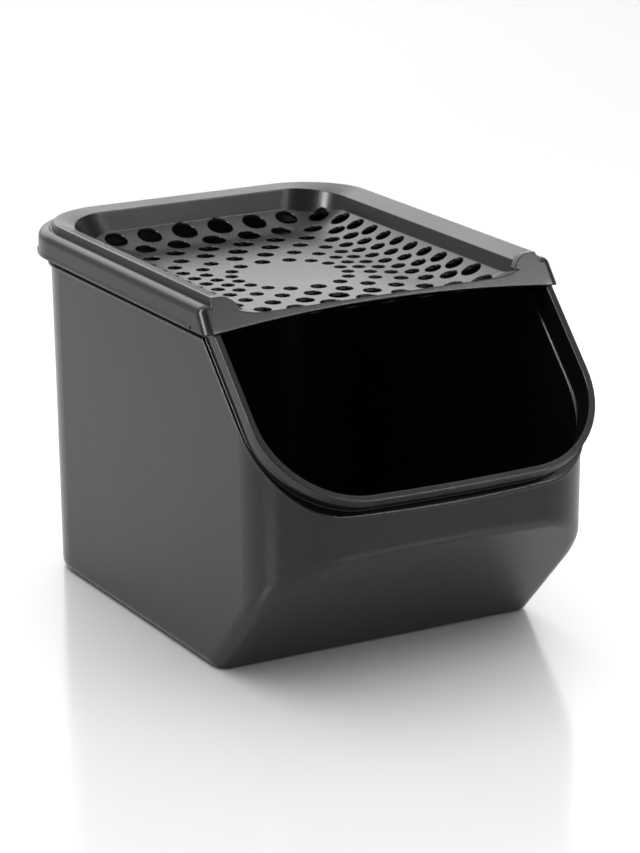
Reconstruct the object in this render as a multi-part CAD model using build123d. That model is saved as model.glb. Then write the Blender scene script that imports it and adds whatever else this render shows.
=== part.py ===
"""Onion keeper: an open-fronted storage bin with a lift-off ventilated lid.

Two mouldings. The bin has an undercut front foot, a slanted mouth and one
collar that runs round the flat top and down round the mouth. The lid covers
the flat top only, and its floor is a perforated dish that a second bin can
stand over. Millimetres, +Z up, -Y is the mouth side. The origin is the centre
of the base.
"""
from build123d import *
import math
import os

# Bin: base and walls
base_half_width = 85.5
base_front = 96.3
base_back = 98.4
draft = 0.55
wall = 2.2
floor_thickness = 2.4
front_reach = 159.8
front_bow = 3.5
front_corner = 34.5
rear_corner = 37.0

# Bin: undercut foot
crease_height = 67.3
crease_front = 160.4
foot_rounding = 8.0
base_rounding = 4.5

# Bin: shoulder, and the slanted mouth in front of it
shoulder_height = 157.5
shoulder_front = 93.9
mouth_angle = 46.35

# Bin: collar on the shoulder, with a ledge, a recessed neck and a bead
collar_height = 11.2
ledge_thickness = 1.2
ledge_proud = 1.6
bead_height = 5.4
neck_inset = 1.4
collar_thickness = 3.0
bead_half = 88.4
bead_rear = 101.4
bead_front = 48.0
mouth_corner = 46.5
mouth_bow = 2.5

# Lid: skirt and outer shoulder
lid_wall = 1.8
lid_clearance = 0.4
skirt_gap = 1.9
skirt_thickness = 1.9
skirt_flare = 0.5
skirt_drop = 7.2
shoulder_rise = 4.6
shoulder_rounding = 4.2
shoulder_inset = 4.6
lip_height = 1.5
lip_proud = 0.4
lip_setback = 16.0

# Lid: groove and crest
groove_inset = 6.2
groove_depth = 1.2
crest_inset = 7.3
crest_rise = 7.4
crest_flat = 1.0

# Lid: front face, which leans back, and its arched lower edge
face_foot = 106.4
face_lean = 36.0
front_ridge = 3.0
ridge_foot_half = 70.3
ridge_top_half = 81.0
arch_rise = 4.7

# Lid: sloping seat that carries a keeper stacked on top
seat_width = 9.4
seat_side_slope = 18.0
seat_rear_slope = 5.5
recess_wall_slope = 20.0
recess_corner = 24.0
corner_steps = 12

# Lid: dished floor
dish_depth = 17.4
recess_depth = 6.0
dish_radius = 58.0
dish_flat_half = 43.0
dish_rear_margin = 44.4
dish_front_margin = 36.2
dish_flat_corner = 5.0
dish_rim_corner = 14.0
dish_steps = 5

# Lid: air holes in rings like rounded rectangles, larger and wider spaced at the ends
ring_count = 6
ring_first_holes = 16
ring_added_holes = 4
ring_setback = 13.4
ring_drift = 1.45
ring_first_half_width = 27.7
ring_step_x = 7.9
ring_first_half_length = 27.9
ring_step_y = 11.2
ring_first_corner = 26.5
ring_corner_step = 1.9
spacing_at_ends = 1.54
end_effect_first = 6.0
end_effect_step = 0.7
side_hole_first = 6.1
side_hole_step = 0.2
end_hole_first = 7.7
end_hole_step = 1.0
hole_margin = 2.0
walk_steps = 90

# Cutting bodies: how far they reach past a face, and past the whole keeper
cut_margin = 1.0
wedge_reach = 1.6
far = 400.0
on_plane = 0.01

angle = math.radians(mouth_angle)
draft_tan = math.tan(math.radians(draft))
face_tan = math.tan(math.radians(face_lean))
LAYER = (Align.CENTER, Align.CENTER, Align.MIN)
mouth_plane = Plane(
    origin=(0, -shoulder_front, shoulder_height),
    x_dir=(1, 0, 0),
    z_dir=(0, -math.sin(angle), math.cos(angle)),
)
hinge_run = shoulder_front * math.cos(angle) - shoulder_height * math.sin(angle)
shoulder_corner = rear_corner + shoulder_height * draft_tan
bead_corner = shoulder_corner
rim_height = shoulder_height + collar_height
rim_front = shoulder_front + collar_height * math.tan(angle / 2)

lid_half = bead_half + skirt_gap + skirt_thickness
lid_rear = bead_rear + skirt_gap + skirt_thickness
lid_corner = bead_corner + skirt_gap + skirt_thickness
skirt_bottom = rim_height - skirt_drop
shoulder_top = rim_height + shoulder_rise
groove_floor = shoulder_top - groove_depth
crest_height = rim_height + crest_rise
crest_lean = (crest_inset - groove_inset) / (crest_height - groove_floor)
dish_floor = crest_height - dish_depth
dish_rim = crest_height - recess_depth
dish_flat_rear = bead_rear - dish_rear_margin
dish_flat_front = face_foot - dish_front_margin


def plan(half, front, back, front_radius, back_radius, bow):
    """Rounded rectangle seen from above, with its front edge bowed out."""
    with BuildSketch() as sketch:
        with BuildLine():
            Polyline(
                (half, -front + bow), (half, back), (-half, back), (-half, -front + bow)
            )
            ThreePointArc((-half, -front + bow), (0, -front), (half, -front + bow))
        make_face()
        corners = sketch.vertices().sort_by(Axis.Y)
        fillet(corners[:2], front_radius)
        corners = sketch.vertices().sort_by(Axis.Y)
        fillet(corners[-2:], back_radius)
    return sketch.sketch


def u_shape(half, back, radius, front=far):
    """Outline with square front corners, to be cut by a plane later."""
    with BuildSketch() as sketch:
        with Locations((0, (back - front) / 2)):
            Rectangle(2 * half, back + front)
        fillet(sketch.vertices().sort_by(Axis.Y)[-2:], radius)
    return sketch.sketch


def side_prism(*points):
    """Solid with a side-view outline, as wide as any part of the keeper."""
    with BuildSketch(Plane.YZ) as sketch:
        with BuildLine():
            Polyline(*points, close=True)
        make_face()
    return extrude(sketch.sketch, amount=far / 2, both=True)


def envelope(inset, bottom):
    """Drafted tub without its undercut, drawn in from the outer faces by inset."""
    outline = plan(
        base_half_width - inset + bottom * draft_tan,
        front_reach - inset + bottom * draft_tan,
        base_back - inset + bottom * draft_tan,
        front_corner - inset,
        rear_corner - inset,
        front_bow,
    )
    top = shoulder_height + collar_height
    return Pos(0, 0, bottom) * extrude(outline, amount=top - bottom, taper=-draft)


def tub(inset, bottom, base_radius, foot_radius):
    """Drafted tub with the undercut foot, all its edges rounded."""
    solid = envelope(inset, bottom)
    run = crease_front - base_front
    shift = inset * math.hypot(run, crease_height) / crease_height
    wedge = side_prism(
        (-base_front + shift + run, -crease_height),
        (-base_front + shift - wedge_reach * run, wedge_reach * crease_height),
        (-far, wedge_reach * crease_height),
        (-far, -crease_height),
    )
    solid -= wedge
    foot = Plane(
        origin=(0, -base_front + shift, 0),
        x_dir=(1, 0, 0),
        z_dir=(0, -crease_height, -run),
    )
    edges = [
        edge
        for edge in solid.edges()
        if abs(foot.to_local_coords(edge.center()).Z) < on_plane
        and edge.center().Z > bottom + cut_margin
    ]
    solid = fillet(edges, foot_radius)
    return fillet(solid.edges().group_by(Axis.Z)[0], base_radius)


def mouth_outline(inset):
    """Outline of the slanted mouth on its plane, with sides that follow the draft."""
    half = bead_half - inset
    tip = hinge_run - bead_front + inset
    tip_half = half + tip * math.sin(angle) * draft_tan
    with BuildSketch() as sketch:
        with BuildLine():
            Polyline((tip_half, tip + mouth_bow), (half, 0), (half, far))
            Line((half, far), (-half, far))
            Polyline((-half, far), (-half, 0), (-tip_half, tip + mouth_bow))
            ThreePointArc((-tip_half, tip + mouth_bow), (0, tip), (tip_half, tip + mouth_bow))
        make_face()
        fillet(sketch.vertices().sort_by(Axis.Y)[:2], mouth_corner - inset)
    return sketch.sketch


def mitre(flat, slanted):
    """Joins a flat band behind the bend of the collar with a slanted one before it."""
    lean = math.tan(angle / 2)
    low = shoulder_height - far
    high = shoulder_height + far
    foot = (far * lean - shoulder_front, low)
    head = (-far * lean - shoulder_front, high)
    before = side_prism(foot, head, (-2 * far, high), (-2 * far, low))
    behind = side_prism(foot, head, (2 * far, high), (2 * far, low))
    return (flat & behind) + (slanted & before)


def collar(low, high, inset):
    """Band of the collar between two heights over the shoulder, drawn in by inset."""
    flat = u_shape(bead_half - inset, bead_rear - inset, bead_corner - inset)
    flat = Pos(0, 0, shoulder_height + low) * extrude(flat, amount=high - low)
    slanted = extrude(mouth_plane.offset(low) * mouth_outline(inset), amount=high - low)
    return mitre(flat, slanted)


def layer(low, high):
    """Everything between two heights over the shoulder, flat and slanted alike."""
    sheet = Pos(0, 0, shoulder_height + low) * Box(2 * far, 2 * far, high - low, align=LAYER)
    slab = mouth_plane.offset(low) * Box(2 * far, 2 * far, high - low, align=LAYER)
    return mitre(sheet, slab)


def make_bin():
    """Hollow tub, cut at the shoulder and the mouth, with its ledge and collar."""
    shell = tub(0, 0, base_rounding, foot_rounding)
    shell -= tub(wall, floor_thickness, base_rounding - wall, foot_rounding - wall)
    shell -= layer(-ledge_thickness / 2, far)
    body = shell + (envelope(-ledge_proud, 0) & layer(-ledge_thickness, 0))
    body += collar(0, collar_height, neck_inset)
    body += collar(collar_height - bead_height, collar_height, 0)
    return body - collar(-2 * ledge_thickness, 2 * collar_height, collar_thickness)


def lid_slab(inset, low, high, taper=0, front=far):
    """Slab of the lid between two heights, drawn in from the skirt by inset."""
    outline = u_shape(lid_half - inset, lid_rear - inset, lid_corner - inset, front)
    return Pos(0, 0, low) * extrude(outline, amount=high - low, taper=taper)


def in_front_of(depth):
    """Everything before a plane that lies depth behind the leaning front face."""
    shift = depth / math.cos(math.radians(face_lean))
    bottom = -face_foot + shift
    return side_prism(
        (bottom - far * face_tan, skirt_bottom - far),
        (bottom + far * face_tan, skirt_bottom + far),
        (-3 * far, skirt_bottom + far),
        (-3 * far, skirt_bottom - far),
    )


def seat_wire(half, rear, corner, side_height, rear_height):
    """Closed U wire that climbs smoothly round its rear corners to the rear height."""
    points = []
    for step in range(corner_steps + 1):
        turn = math.radians(90 * step / corner_steps)
        ease = (1 - math.cos(2 * turn)) / 2
        points.append(
            (
                half - corner + corner * math.cos(turn),
                rear - corner + corner * math.sin(turn),
                side_height + (rear_height - side_height) * ease,
            )
        )
    mirrored = [(-x, y, z) for x, y, z in reversed(points)]
    right = Edge.make_spline(points)
    left = Edge.make_spline(mirrored)
    start = (half, -far, side_height)
    finish = (-half, -far, side_height)
    return Wire(
        [
            Edge.make_line(start, points[0]),
            right,
            Edge.make_line(points[-1], mirrored[0]),
            left,
            Edge.make_line(mirrored[-1], finish),
            Edge.make_line(finish, start),
        ]
    )


def recess(grow):
    """Space above the seat and inside the recess wall, grown outward by grow."""
    edge_half = lid_half - crest_inset - crest_flat + grow
    edge_rear = lid_rear - crest_inset - crest_flat + grow
    edge_corner = lid_corner - crest_inset - crest_flat + grow
    inner_half = edge_half - seat_width
    inner_rear = edge_rear - seat_width
    drop = seat_width * math.tan(math.radians(seat_side_slope))
    side_height = crest_height - grow - drop
    rear_height = crest_height - grow - seat_width * math.tan(math.radians(seat_rear_slope))
    lean = math.tan(math.radians(recess_wall_slope))
    foot = dish_floor - 2 * lid_wall
    foot_half = inner_half - (side_height - foot) * lean
    foot_rear = inner_rear - (rear_height - foot) * lean
    wires = [
        seat_wire(foot_half, foot_rear, recess_corner, foot, foot),
        seat_wire(inner_half, inner_rear, recess_corner, side_height, rear_height),
        seat_wire(edge_half, edge_rear, edge_corner, crest_height - grow, crest_height - grow),
    ]
    return Solid.make_loft(wires, ruled=True)


def dish(grow):
    """Dished floor space as a loft of rounded rectangles, grown by grow."""
    sections = []
    rise = dish_rim - dish_floor
    last = math.acos(1 - rise / dish_radius)
    for step in range(dish_steps):
        turn = last * step / (dish_steps - 1)
        run = (dish_radius + grow) * math.sin(turn)
        height = dish_floor + dish_radius - (dish_radius + grow) * math.cos(turn)
        corner = dish_flat_corner + (dish_rim_corner - dish_flat_corner) * step / (dish_steps - 1)
        rear = dish_flat_rear + run
        front = dish_flat_front + run
        with BuildSketch(Plane(origin=(0, (rear - front) / 2, height))) as sketch:
            RectangleRounded(2 * (dish_flat_half + run), rear + front, corner)
        sections.append(sketch.sketch)
    return loft(sections)


def ring_outline(half_width, half_length, corner):
    """Rounded rectangle as points, from the middle of its rear side clockwise."""
    quarter = []
    for step in range(walk_steps + 1):
        quarter.append(((half_width - corner) * step / walk_steps, half_length))
    for step in range(1, walk_steps + 1):
        turn = math.pi / 2 * step / walk_steps
        x = half_width - corner + corner * math.sin(turn)
        quarter.append((x, half_length - corner + corner * math.cos(turn)))
    for step in range(1, walk_steps + 1):
        quarter.append((half_width, (half_length - corner) * (1 - step / walk_steps)))
    half = quarter + [(x, -y) for x, y in reversed(quarter[:-1])]
    return half + [(-x, y) for x, y in reversed(half[:-1])]


def ring_holes(ring):
    """Holes of one ring as (x, y, diameter) about its own centre."""
    outline = ring_outline(
        ring_first_half_width + ring * ring_step_x,
        ring_first_half_length + ring * ring_step_y,
        ring_first_corner - ring * ring_corner_step,
    )
    effect = end_effect_first - ring * end_effect_step
    side = side_hole_first + ring * side_hole_step
    end = end_hole_first + ring * end_hole_step
    path = []
    walked = 0.0
    for index, (x, y) in enumerate(outline):
        share = abs(y / math.hypot(x, y)) ** effect
        if index:
            run = math.hypot(x - outline[index - 1][0], y - outline[index - 1][1])
            walked += run / (1 + (spacing_at_ends - 1) * share)
        path.append((walked, x, y, side + (end - side) * share))
    count = ring_first_holes + ring * ring_added_holes
    holes = []
    for index in range(count):
        target = walked * (index + (ring % 2) / 2) / count
        after = next(spot for spot in range(1, len(path)) if path[spot][0] >= target)
        first, second = path[after - 1], path[after]
        part = (target - first[0]) / (second[0] - first[0])
        holes.append([first[axis] + part * (second[axis] - first[axis]) for axis in (1, 2, 3)])
    return holes


def air_holes():
    """All the holes that fit behind the front face, as (x, y, diameter)."""
    holes = []
    hole_limit = hole_margin + (dish_rim - skirt_bottom) * face_tan - face_foot
    for ring in range(ring_count):
        centre_y = ring * ring_drift - ring_setback
        for x, y, size in ring_holes(ring):
            if y + centre_y - size / 2 > hole_limit:
                holes.append((x, y + centre_y, size))
    return holes


def lid_outside():
    """Skirt, rounded shoulder, groove, crest and lip, cut by the leaning front face."""
    flare = math.degrees(math.atan(skirt_flare / (shoulder_top - skirt_bottom)))
    mass = lid_slab(-skirt_flare, skirt_bottom, shoulder_top, flare) - in_front_of(0)
    upright = [
        edge
        for edge in mass.edges()
        if abs(edge.center().X) > lid_half - cut_margin and edge.center().Y < -rim_front
    ]
    round_edges = [edge for edge in upright if edge.bounding_box().size.Z > cut_margin]
    mass = fillet(round_edges + list(mass.edges().group_by(Axis.Z)[-1]), shoulder_rounding)
    spread = math.degrees(math.atan((groove_inset - shoulder_inset) / groove_depth))
    mass -= lid_slab(groove_inset, groove_floor, shoulder_top + cut_margin, -spread)
    crest = lid_slab(groove_inset, skirt_bottom, groove_floor)
    crest += lid_slab(groove_inset, groove_floor, crest_height, math.degrees(math.atan(crest_lean)))
    mass += crest - in_front_of(0)
    lip_inset = -skirt_flare - lip_proud
    return mass + lid_slab(
        lip_inset, skirt_bottom, skirt_bottom + lip_height, 0, face_foot - lip_setback
    )


def lid_hollow():
    """Space under the lid, one wall inside its outer faces."""
    hollow = lid_slab(skirt_thickness, skirt_bottom - cut_margin, rim_height)
    inset = groove_inset + lid_wall - (groove_floor - rim_height) * crest_lean
    hollow += lid_slab(
        inset, rim_height, crest_height - lid_wall, math.degrees(math.atan(crest_lean))
    )
    return hollow - in_front_of(lid_wall)


def front_opening():
    """Opening between the two front ridges, whose flanks sweep up to the crest."""
    low = dish_rim - cut_margin
    high = crest_height + cut_margin
    with BuildSketch(Plane.XZ) as sketch:
        with BuildLine():
            Spline(
                (ridge_foot_half, low),
                (ridge_top_half, crest_height),
                tangents=((1, 1), (1, 0)),
            )
            Line((ridge_top_half, crest_height), (ridge_top_half, high))
            Line((ridge_top_half, high), (-ridge_top_half, high))
            Line((-ridge_top_half, high), (-ridge_top_half, crest_height))
            Spline(
                (-ridge_top_half, crest_height),
                (-ridge_foot_half, low),
                tangents=((1, 0), (1, -1)),
            )
            Line((-ridge_foot_half, low), (ridge_foot_half, low))
        make_face()
    middle = extrude(sketch.sketch, amount=far, both=True)
    return middle & lid_slab(0, dish_rim, far) & in_front_of(2 * front_ridge)


def front_arch():
    """Space under the arched lower edge of the front face."""
    with BuildSketch(Plane.XZ) as sketch:
        with BuildLine():
            ThreePointArc(
                (lid_half, skirt_bottom), (0, skirt_bottom + arch_rise), (-lid_half, skirt_bottom)
            )
            Polyline(
                (-lid_half, skirt_bottom),
                (-lid_half, skirt_bottom - cut_margin),
                (lid_half, skirt_bottom - cut_margin),
                (lid_half, skirt_bottom),
            )
        make_face()
    return extrude(sketch.sketch, amount=far, both=True) & in_front_of(lid_wall)


def rim_lane(side):
    """Clearance for the bin's rim, where it turns down under one end of the front face."""
    bottom = skirt_bottom - cut_margin
    reach = (rim_height - bottom) / math.tan(angle)
    shift = lid_clearance / math.sin(angle)
    rim_path = side_prism(
        (0, bottom),
        (0, rim_height),
        (-rim_front - shift, rim_height),
        (-rim_front - shift - reach, bottom),
    )
    inner = bead_half - collar_thickness - lid_clearance
    lane = lid_half - skirt_thickness - inner
    return rim_path & Pos(side * (inner + lane / 2), 0, 0) * Box(lane, far, far)


def make_lid():
    """Hollow lid with its seat, perforated dish, front ridges and arched edge."""
    lid = lid_outside() - lid_hollow()
    tray = recess(lid_wall) & lid_slab(0, dish_rim - lid_wall, far)
    tray += recess(lid_wall) & dish(lid_wall)
    lid += tray - in_front_of(0)
    space = recess(0) & lid_slab(0, dish_rim, far)
    lid -= space - in_front_of(front_ridge)
    lid -= front_opening()
    lid -= recess(0) & dish(0)
    lid -= front_arch()
    for side in (-1, 1):
        lid -= rim_lane(side)
    drills = []
    for x, y, size in air_holes():
        drills.append(Pos(x, y, dish_floor) * Cylinder(size / 2, 2 * dish_depth))
    return lid - drills


os.makedirs("parts", exist_ok=True)
pieces = {"bin": make_bin(), "lid": make_lid()}
for name, piece in pieces.items():
    piece.label = name
    export_step(piece, "parts/" + name + ".step")
    print(name, round(piece.volume), len(piece.solids()), piece.is_valid, piece.bounding_box())
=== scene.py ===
"""Looks for an onion keeper: moulded plastic finishes, studio floor, lights and camera."""
import math

import bpy
from mathutils import Matrix, Vector

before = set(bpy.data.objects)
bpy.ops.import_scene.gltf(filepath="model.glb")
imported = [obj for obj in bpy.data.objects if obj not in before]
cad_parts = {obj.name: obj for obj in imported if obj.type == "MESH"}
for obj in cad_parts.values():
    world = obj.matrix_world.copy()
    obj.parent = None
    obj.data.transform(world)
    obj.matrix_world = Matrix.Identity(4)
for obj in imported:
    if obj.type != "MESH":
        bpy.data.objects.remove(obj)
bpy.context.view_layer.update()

bl_info = {
    "name": "Onion keeper looks",
    "version": (1, 0, 0),
    "blender": (4, 5, 0),
    "location": "3D View > Sidebar > Keeper",
    "description": "Moulded plastic finishes and a pale studio for an onion keeper",
    "category": "Object",
}

MM = 0.001
BLACK = (0, 0, 0, 1)
WHITE = (1, 1, 1, 1)

# The sRGB curve: a straight foot, then a power
SRGB_FOOT_END = 0.04045
SRGB_FOOT_SLOPE = 12.92
SRGB_OFFSET = 0.055
SRGB_POWER = 2.4

# Places of the colour sockets on a Mix node
MIX_FIRST = 6
MIX_SECOND = 7
MIX_RESULT = 2

# Plastic: refraction, grain with painted shade in its pits and painted light on its peaks, and the
# slow change of its sheen across a wall
PLASTIC_IOR = 1.48
GRAIN_DETAIL = 3.0
GRAIN_FALLOFF = 0.6
GRAIN_STRENGTH = 0.6
PIT_PAINTED_SHADE = 0.88
PEAK_PAINTED_LIGHT = 1.06
TONE_SPACING = 60 * MM
TONE_DETAIL = 2.0
SHEEN_CHANGE = 0.03
NOISE_LOW = 0.3
NOISE_HIGH = 0.7

# Plastic edges: cosine of the turn away from the face, where the polish is full and where it ends
POLISH_FULL = 0.8
POLISH_END = 0.96
EDGE_SAMPLES = 8

# Floor: how far it lies below the keeper, and the surface of the sheet
FLOOR_DROP = 0.2 * MM
FLOOR_ROUGHNESS = 0.16
FLOOR_IOR = 1.49

# Room: the Y of the directions between which it brightens toward the rear
ROOM_FADE_START = -0.3
ROOM_FADE_END = 0.6

# Camera: place and clipping in metres, angles in degrees, sensor in mm, shifts in sensor heights
CAMERA_PLACE = (-0.7124, -1.3220, 0.5276)
CAMERA_TURN = -28.478
CAMERA_TILT = 16.819
CAMERA_ROLL = -0.547
CAMERA_SENSOR_HEIGHT = 36
CAMERA_SHIFT_X = 0.0387
CAMERA_SHIFT_Y = 0.0129
CAMERA_NEAREST = 0.05
CAMERA_FARTHEST = 50


def linear(hex_colour):
    """Turns an sRGB hex value such as 1f2022 into a linear colour with alpha."""
    channels = []
    for start in (0, 2, 4):
        value = int(hex_colour[start:start + 2], 16) / 255
        if value <= SRGB_FOOT_END:
            channels.append(value / SRGB_FOOT_SLOPE)
        else:
            channels.append(((value + SRGB_OFFSET) / (1 + SRGB_OFFSET)) ** SRGB_POWER)
    return (*channels, 1.0)


def add_node(tree, kind, links=(), **settings):
    """Adds one node. Settings name its own fields or its inputs; links are (input, output socket)."""
    node = tree.nodes.new(kind)
    for name, value in settings.items():
        if hasattr(node, name):
            setattr(node, name, value)
        else:
            node.inputs[name.replace("_", " ")].default_value = value
    for name, socket in links:
        tree.links.new(socket, node.inputs[name])
    return node


def new_material(name):
    """An empty node material and its tree."""
    material = bpy.data.materials.new(name)
    material.use_nodes = True
    material.node_tree.nodes.clear()
    return material, material.node_tree


class KeeperFinish(bpy.types.PropertyGroup):
    """Colour and surface of the moulded plastic."""
    colour: bpy.props.FloatVectorProperty(
        name="Plastic colour", description="Charcoal of the moulded polypropylene",
        subtype="COLOR", size=4, min=0, max=1, default=linear("0f0f12"))
    roughness: bpy.props.FloatProperty(
        name="Roughness", description="Satin of a moulded wall", default=0.27, min=0, max=1)
    lid_roughness: bpy.props.FloatProperty(
        name="Lid roughness", description="Satin of the lid", default=0.27, min=0, max=1)
    edge_roughness: bpy.props.FloatProperty(
        name="Edge roughness", description="Polish of an edge that handling has rubbed",
        default=0.14, min=0, max=1)
    edge: bpy.props.FloatProperty(
        name="Edge radius", description="Softness of a moulded edge",
        default=0.9 * MM, unit="LENGTH", precision=5)
    # Real grains lie about 0.1 mm apart, too fine to show, so they are drawn this coarse
    grain: bpy.props.FloatProperty(
        name="Grain", description="Spacing of the eroded mould texture",
        default=0.9 * MM, unit="LENGTH")
    grain_depth: bpy.props.FloatProperty(
        name="Grain depth", description="Height of the eroded mould texture",
        default=0.018 * MM, unit="LENGTH", precision=6)


class KeeperStudio(bpy.types.PropertyGroup):
    """Floor, lights and camera."""
    floor_size: bpy.props.FloatProperty(
        name="Floor size", description="Side of the square floor", default=14.0, unit="LENGTH")
    floor_colour: bpy.props.FloatVectorProperty(
        name="Floor colour", description="Pale glossy acrylic sheet",
        subtype="COLOR", size=4, min=0, max=1, default=linear("f8f8f8"))
    overhead_power: bpy.props.FloatProperty(
        name="Overhead softbox", description="Power of the softbox over the keeper",
        default=37.0, unit="POWER")
    rear_power: bpy.props.FloatProperty(
        name="Rear softbox", description="Power of the low softbox behind the keeper",
        default=11.0, unit="POWER")
    left_power: bpy.props.FloatProperty(
        name="Left strip", description="Power of the strip light high at the left",
        default=24.0, unit="POWER")
    right_power: bpy.props.FloatProperty(
        name="Right strip", description="Power of the strip light high at the front right",
        default=12.0, unit="POWER")
    fill_power: bpy.props.FloatProperty(
        name="Floor fill", description="Power of the softbox that lights the floor in front",
        default=17.0, unit="POWER")
    room: bpy.props.FloatProperty(
        name="Room", description="Brightness of the room behind the keeper", default=0.65, min=0)
    room_front: bpy.props.FloatProperty(
        name="Room in front", description="Brightness of the room behind the camera",
        default=0.25, min=0)
    lens: bpy.props.FloatProperty(
        name="Lens", description="Focal length on a sensor 36 mm high",
        default=135.68, unit="CAMERA")


def moulded_plastic(name, finish, roughness):
    """Polypropylene moulded in an eroded tool: a charcoal satin with polished edges."""
    material, tree = new_material(name)
    place = add_node(tree, "ShaderNodeTexCoord").outputs["Object"]

    # The eroded tool leaves an even grain, which breaks up highlights; the colour follows its height,
    # painted darker in its pits as shade and painted lighter on its peaks as light
    grain = add_node(
        tree, "ShaderNodeTexNoise", [("Vector", place)],
        Scale=1 / finish.grain, Detail=GRAIN_DETAIL, Roughness=GRAIN_FALLOFF)
    painted_grain_shade = add_node(
        tree, "ShaderNodeMapRange", [("Value", grain.outputs["Fac"])],
        From_Min=NOISE_LOW, From_Max=NOISE_HIGH, To_Min=PIT_PAINTED_SHADE, To_Max=PEAK_PAINTED_LIGHT)
    colour = add_node(
        tree, "ShaderNodeMix", [("Factor", painted_grain_shade.outputs["Result"])], data_type="RGBA",
        clamp_factor=False)
    colour.inputs[MIX_FIRST].default_value = BLACK
    colour.inputs[MIX_SECOND].default_value = finish.colour

    # Moulding leaves a large wall slightly glossier in some places than in others
    tone = add_node(
        tree, "ShaderNodeTexNoise", [("Vector", place)],
        Scale=1 / TONE_SPACING, Detail=TONE_DETAIL)
    sheen = add_node(
        tree, "ShaderNodeMapRange", [("Value", tone.outputs["Fac"])],
        From_Min=NOISE_LOW, From_Max=NOISE_HIGH,
        To_Min=roughness - SHEEN_CHANGE, To_Max=roughness + SHEEN_CHANGE)

    # Small rounded edges, rubbed smoother than the walls, catch thin bright lines
    soft_edge = add_node(tree, "ShaderNodeBevel", samples=EDGE_SAMPLES, Radius=finish.edge)
    face = add_node(tree, "ShaderNodeNewGeometry")
    flatness = add_node(
        tree, "ShaderNodeVectorMath",
        [(0, soft_edge.outputs["Normal"]), (1, face.outputs["Normal"])],
        operation="DOT_PRODUCT")
    polish = add_node(
        tree, "ShaderNodeMapRange",
        [("Value", flatness.outputs["Value"]), ("To Max", sheen.outputs["Result"])],
        From_Min=POLISH_FULL, From_Max=POLISH_END, To_Min=finish.edge_roughness)
    bump = add_node(
        tree, "ShaderNodeBump",
        [("Height", grain.outputs["Fac"]), ("Normal", soft_edge.outputs["Normal"])],
        Strength=GRAIN_STRENGTH, Distance=finish.grain_depth)

    shader = add_node(
        tree, "ShaderNodeBsdfPrincipled",
        [("Base Color", colour.outputs[MIX_RESULT]), ("Roughness", polish.outputs["Result"]),
         ("Normal", bump.outputs["Normal"])],
        IOR=PLASTIC_IOR, Metallic=0.0)
    add_node(tree, "ShaderNodeOutputMaterial", [("Surface", shader.outputs["BSDF"])])
    return material


def acrylic_sheet(studio):
    """Cast acrylic with its polished face up: pale, with a soft mirror image of the keeper."""
    material, tree = new_material("Glossy_acrylic_sheet")
    shader = add_node(
        tree, "ShaderNodeBsdfPrincipled",
        Base_Color=studio.floor_colour, Roughness=FLOOR_ROUGHNESS, IOR=FLOOR_IOR)
    add_node(tree, "ShaderNodeOutputMaterial", [("Surface", shader.outputs["BSDF"])])
    return material


def give(node_name, material):
    """Puts a material on a CAD node's slots."""
    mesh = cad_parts[node_name].data
    mesh.materials.clear()
    mesh.materials.append(material)


def lay_floor(studio):
    """Square floor just under the keeper."""
    bpy.ops.mesh.primitive_plane_add(size=studio.floor_size, location=(0, 0, -FLOOR_DROP))
    floor = bpy.context.object
    floor.name = "floor"
    floor.data.materials.append(acrylic_sheet(studio))


def surround_with_room(studio):
    """White room that is brighter behind the keeper than behind the camera."""
    world = bpy.data.worlds.new("White_room")
    bpy.context.scene.world = world
    world.use_nodes = True
    room = world.node_tree
    sky = room.nodes["Background"]
    sky.inputs["Color"].default_value = WHITE
    aim = add_node(room, "ShaderNodeTexCoord").outputs["Generated"]
    split = add_node(room, "ShaderNodeSeparateXYZ", [("Vector", aim)])
    fade = add_node(
        room, "ShaderNodeMapRange", [("Value", split.outputs["Y"])],
        From_Min=ROOM_FADE_START, From_Max=ROOM_FADE_END,
        To_Min=studio.room_front, To_Max=studio.room)
    room.links.new(fade.outputs["Result"], sky.inputs["Strength"])


def softbox(name, place, target, size, power):
    """Rectangular area light that faces a point, in metres."""
    bpy.ops.object.light_add(type="AREA", location=place)
    lamp = bpy.context.object
    lamp.name = name
    lamp.data.shape = "RECTANGLE"
    lamp.data.size, lamp.data.size_y = size
    lamp.data.energy = power
    lamp.rotation_euler = (Vector(place) - Vector(target)).to_track_quat("Z", "Y").to_euler()
    return lamp


def hang_lights(studio):
    """Two softboxes, two strips that show only as reflections, and a fill for the floor."""
    # Level sheet over and behind the keeper: an even pale floor, which the walls mirror
    softbox(
        "softbox_over", place=(0, 1.4, 1.9), target=(0, 1.4, 0), size=(2.6, 4.0),
        power=studio.overhead_power)
    # Low sheet behind it: the sheen of the dish, the crest and the floor
    softbox(
        "softbox_rear", place=(0.6, 1.9, 0.95), target=(0, 0, 0.3), size=(2.4, 1.1),
        power=studio.rear_power)
    # Line of light down the left edge of the mouth and the front corner of the wall
    left = softbox(
        "strip_left", place=(-1.3, -0.1, 1.05), target=(0, 0, 0.15), size=(0.3, 1.2),
        power=studio.left_power)
    # Bright rim of the mouth, front face of the lid and rear wall of its recess
    right = softbox(
        "strip_right", place=(0.85, -1.2, 1.24), target=(0, 0, 0.1), size=(0.7, 0.28),
        power=studio.right_power)
    for strip in (left, right):
        strip.visible_diffuse = False
    # Light on the floor in front, with no reflection of its own in the plastic
    fill = softbox(
        "softbox_front", place=(0.2, -1.1, 1.5), target=(0.1, -0.4, 0), size=(2.6, 1.4),
        power=studio.fill_power)
    fill.visible_glossy = False


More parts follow.
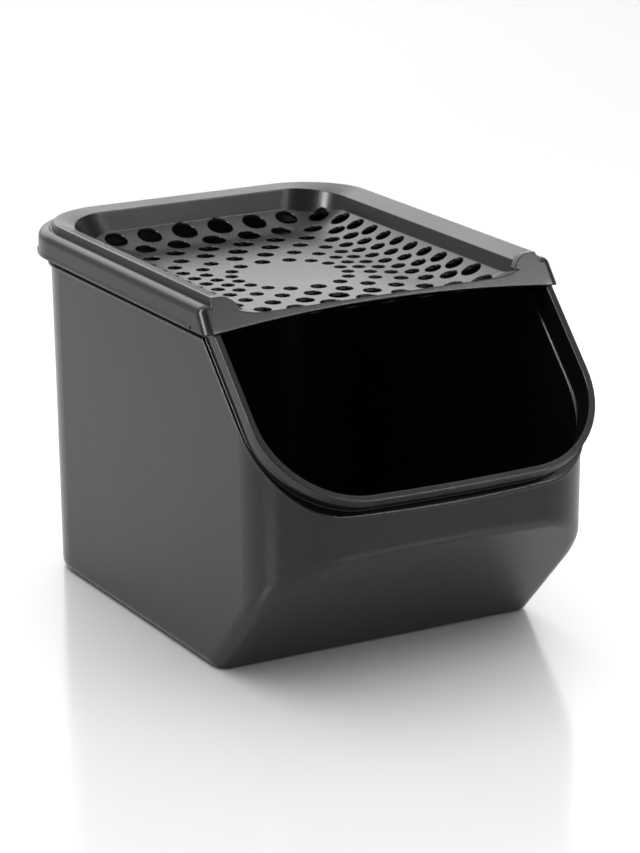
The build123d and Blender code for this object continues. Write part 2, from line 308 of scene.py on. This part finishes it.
def place_camera(studio):
    """Camera that is turned about the vertical, tilted down and slightly rolled."""
    turn, tilt, roll = (math.radians(v) for v in (CAMERA_TURN, CAMERA_TILT, CAMERA_ROLL))
    level = math.cos(tilt)
    back = Vector((math.sin(turn) * level, -math.cos(turn) * level, math.sin(tilt)))
    right = Vector((math.cos(turn), math.sin(turn), 0))
    up = back.cross(right)
    across = right * math.cos(roll) + up * math.sin(roll)
    upward = up * math.cos(roll) - right * math.sin(roll)
    bpy.ops.object.camera_add()
    camera = bpy.context.object
    camera.name = "camera"
    axes = Matrix((across, upward, back)).transposed().to_4x4()
    camera.matrix_world = Matrix.Translation(CAMERA_PLACE) @ axes
    camera.data.sensor_fit = "VERTICAL"
    camera.data.sensor_height = CAMERA_SENSOR_HEIGHT
    camera.data.lens = studio.lens
    camera.data.shift_x = CAMERA_SHIFT_X
    camera.data.shift_y = CAMERA_SHIFT_Y
    camera.data.clip_start = CAMERA_NEAREST
    camera.data.clip_end = CAMERA_FARTHEST
    bpy.context.scene.camera = camera


class KEEPER_OT_bin(bpy.types.Operator):
    """Finishes the bin as moulded charcoal polypropylene"""
    bl_idname = "keeper.finish_bin"
    bl_label = "Finish bin"

    def execute(self, context):
        finish = context.scene.keeper_finish
        give("bin", moulded_plastic("Moulded_PP_charcoal_bin", finish, finish.roughness))
        return {"FINISHED"}


class KEEPER_OT_lid(bpy.types.Operator):
    """Finishes the lid as moulded charcoal polypropylene"""
    bl_idname = "keeper.finish_lid"
    bl_label = "Finish lid"

    def execute(self, context):
        finish = context.scene.keeper_finish
        give("lid", moulded_plastic("Moulded_PP_charcoal_lid", finish, finish.lid_roughness))
        return {"FINISHED"}


class KEEPER_OT_stage(bpy.types.Operator):
    """Adds the pale floor, the white room, the lights and the camera"""
    bl_idname = "keeper.build_stage"
    bl_label = "Build stage"

    def execute(self, context):
        studio = context.scene.keeper_studio
        bpy.ops.object.select_all(action="DESELECT")
        lay_floor(studio)
        surround_with_room(studio)
        hang_lights(studio)
        place_camera(studio)
        context.scene.view_settings.view_transform = "Standard"
        return {"FINISHED"}


class KEEPER_PT_panel(bpy.types.Panel):
    """Lists the keeper's finishes and stage"""
    bl_idname = "KEEPER_PT_panel"
    bl_label = "Onion keeper"
    bl_space_type = "VIEW_3D"
    bl_region_type = "UI"
    bl_category = "Keeper"

    def draw(self, context):
        scene = context.scene
        for title, values in (("Finish", scene.keeper_finish), ("Studio", scene.keeper_studio)):
            self.layout.label(text=title)
            for field in values.bl_rna.properties.keys():
                if field not in ("rna_type", "name"):
                    self.layout.prop(values, field)
        for operator in OPERATORS:
            self.layout.operator(operator.bl_idname)


GROUPS = (KeeperFinish, KeeperStudio)
OPERATORS = (KEEPER_OT_bin, KEEPER_OT_lid, KEEPER_OT_stage)


def register():
    for item in (*GROUPS, *OPERATORS, KEEPER_PT_panel):
        bpy.utils.register_class(item)
    bpy.types.Scene.keeper_finish = bpy.props.PointerProperty(type=KeeperFinish)
    bpy.types.Scene.keeper_studio = bpy.props.PointerProperty(type=KeeperStudio)


def unregister():
    del bpy.types.Scene.keeper_studio
    del bpy.types.Scene.keeper_finish
    for item in reversed((*GROUPS, *OPERATORS, KEEPER_PT_panel)):
        bpy.utils.unregister_class(item)


def main():
    register()
    bpy.ops.keeper.finish_bin()
    bpy.ops.keeper.finish_lid()
    bpy.ops.keeper.build_stage()


if __name__ == "__main__":
    main()
